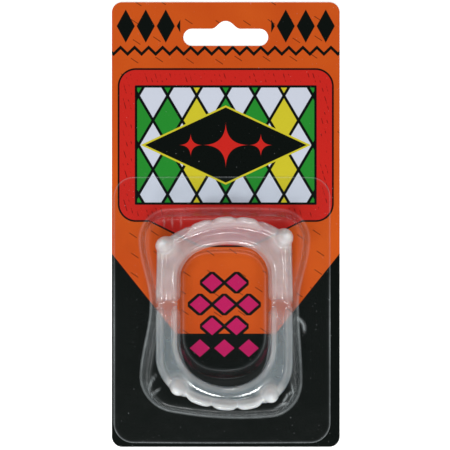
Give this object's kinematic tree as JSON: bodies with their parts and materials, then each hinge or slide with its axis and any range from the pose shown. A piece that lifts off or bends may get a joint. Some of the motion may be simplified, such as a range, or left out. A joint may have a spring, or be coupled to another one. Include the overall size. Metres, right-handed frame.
{
  "type": "vampire fang denture on a blister card",
  "caption": "Soft toy vampire fangs opened flat into a ring, sealed in a clear hourglass blister on a printed hang card.",
  "frame": {"origin": "bottom centre of the whole pack: the middle of the card's back", "axes": "+Y up the card towards its hang slot, +Z out of its printed face, +X to the right seen from the front"},
  "size_m": [0.0878, 0.1712, 0.0194],
  "materials": {
    "card": "printed and varnished",
    "clear_sheet": "clear thermoformed plastic",
    "milky_plastic": "translucent soft plastic"
  },
  "bodies": {
    "root": {"backing_card": "card", "blister": "clear_sheet", "fang_denture": "milky_plastic"}
  },
  "joints": []
}
